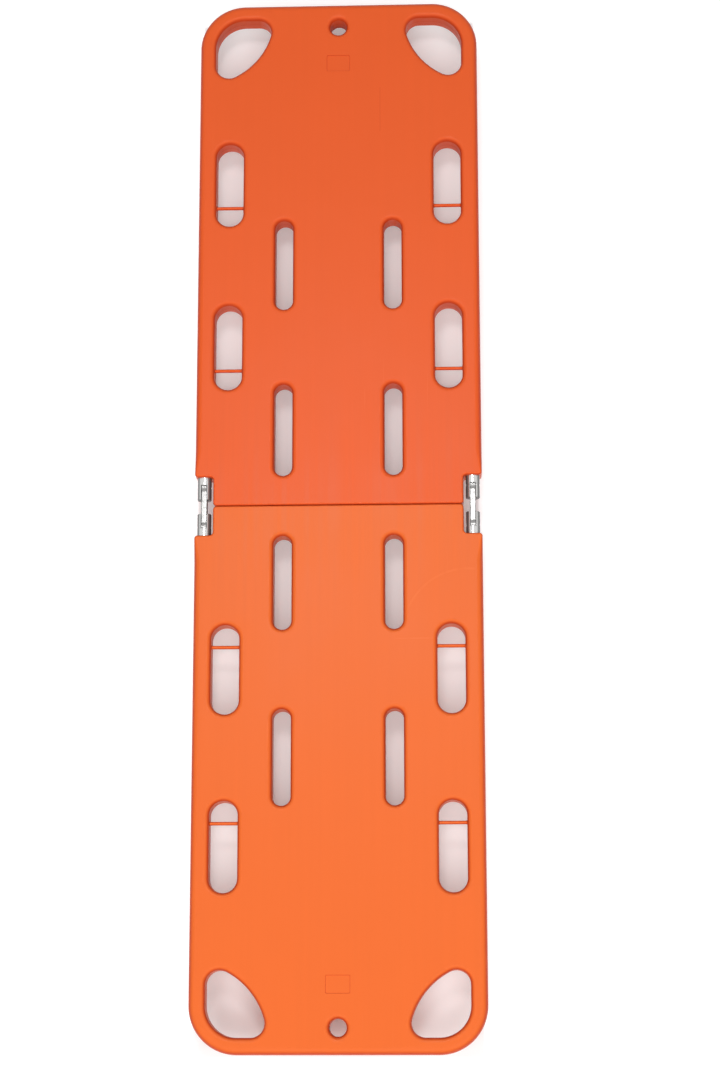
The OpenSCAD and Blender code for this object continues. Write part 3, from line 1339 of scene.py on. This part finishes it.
@dataclass
class Studio:
    """Pale floor, soft lamps and the camera at the photograph's place. Sizes in metres."""

    floor_z: float = -0.0575
    floor_size: float = 14.0
    camera_place: Triple = (0.197227, -0.907067, 3.994218)
    camera_turn: Triple = (-0.21070315, -0.03951231, 0.00973337)
    focal_px: float = 2373.50322
    image_height: float = 1080.0
    sensor: float = 36.0
    ambient: float = 0.30
    lamps: tuple[Lamp, ...] = (
        Lamp("key_lamp", (0.1, 0.2, 4.6), 5.0, 20.0),
        Lamp("sheen_lamp", (-0.1, 0.78, 4.0), 0.8, 26.0, in_sheen=True),
        Lamp("foot_lamp", (0.1, -2.4, 4.0), 4.0, 165.0),
    )

    def camera(self) -> None:
        """Makes the camera."""
        data = bpy.data.cameras.new("photo_camera")
        data.sensor_width = self.sensor
        data.lens = self.focal_px / self.image_height * self.sensor
        camera = bpy.data.objects.new("photo_camera", data)
        turn = Euler(self.camera_turn, "XYZ").to_matrix().transposed().to_4x4()
        camera.matrix_world = Matrix.Translation(self.camera_place) @ turn
        bpy.context.scene.collection.objects.link(camera)
        bpy.context.scene.camera = camera

    def floor(self) -> None:
        """Makes the floor."""
        bm = bmesh.new()
        level = Matrix.Translation((0.0, 0.0, self.floor_z))
        bmesh.ops.create_grid(bm, x_segments=1, y_segments=1, size=self.floor_size / 2, matrix=level)
        floor = linked("studio_floor", bm)
        floor.data.materials.append(PaleFloor("pale_floor").material())

    def light(self) -> None:
        """Makes the lamps and the world."""
        for lamp in self.lamps:
            lamp.build()
        world = bpy.data.worlds.new("studio")
        world.use_nodes = True
        graph = Graph(world.node_tree)
        strength = self.ambient + seen_directly(graph) * (1.0 - self.ambient)
        sky = graph.node("ShaderNodeBackground", {}, {"Color": rgba((1.0, 1.0, 1.0)), "Strength": strength})
        graph.node("ShaderNodeOutputWorld", {}, {"Surface": sky})
        bpy.context.scene.world = world
        bpy.context.scene.view_settings.view_transform = "Standard"

    def build(self) -> None:
        """Makes the whole studio."""
        self.camera()
        self.floor()
        self.light()


def main() -> None:
    """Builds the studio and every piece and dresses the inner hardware."""
    logging.basicConfig(level=logging.INFO, format="%(name)s: %(message)s")
    Studio().build()
    # Two copies of one plastic; the foot's is yellower, painted light for the brighter light on the foot end.
    plastics = {
        Half.HEAD: MouldedPlastic("orange_head_plastic", colour=(0.79, 0.108, 0.020)).material(),
        Half.FOOT: MouldedPlastic("orange_foot_plastic", colour=(0.80, 0.142, 0.024)).material(),
    }
    bright = BrightSteel("bright_steel").material()
    # The link's steel is a darker copy of the bars' steel: painted shade that tones down the lamps on its
    # flat top.
    flat = BrightSteel(
        "bright_flat_steel",
        colour=(0.4, 0.396, 0.388),
        side=(0.15, 0.145, 0.14),
        side_turn=(0.985, 0.8),
        roughness=0.34,
        drawn=Pattern(1.0, scale=(30.0, 30.0, 900.0)),
    ).material()
    drawn = BrushedSteel("drawn_steel").material()
    for half in Half:
        board = MouldedHalf(half)
        board.build(plastics[half])
        for side in Side:
            for row in Row:
                StrapPin(board, side, row).build(plastics[half])
    for side in Side:
        SideHinge(side).build(bright, flat)
    for name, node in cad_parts.items():
        if name.endswith(("anchor_tube", "cross_pin")):
            for place in node.material_slots:
                place.material = drawn


if __name__ == "__main__":
    main()
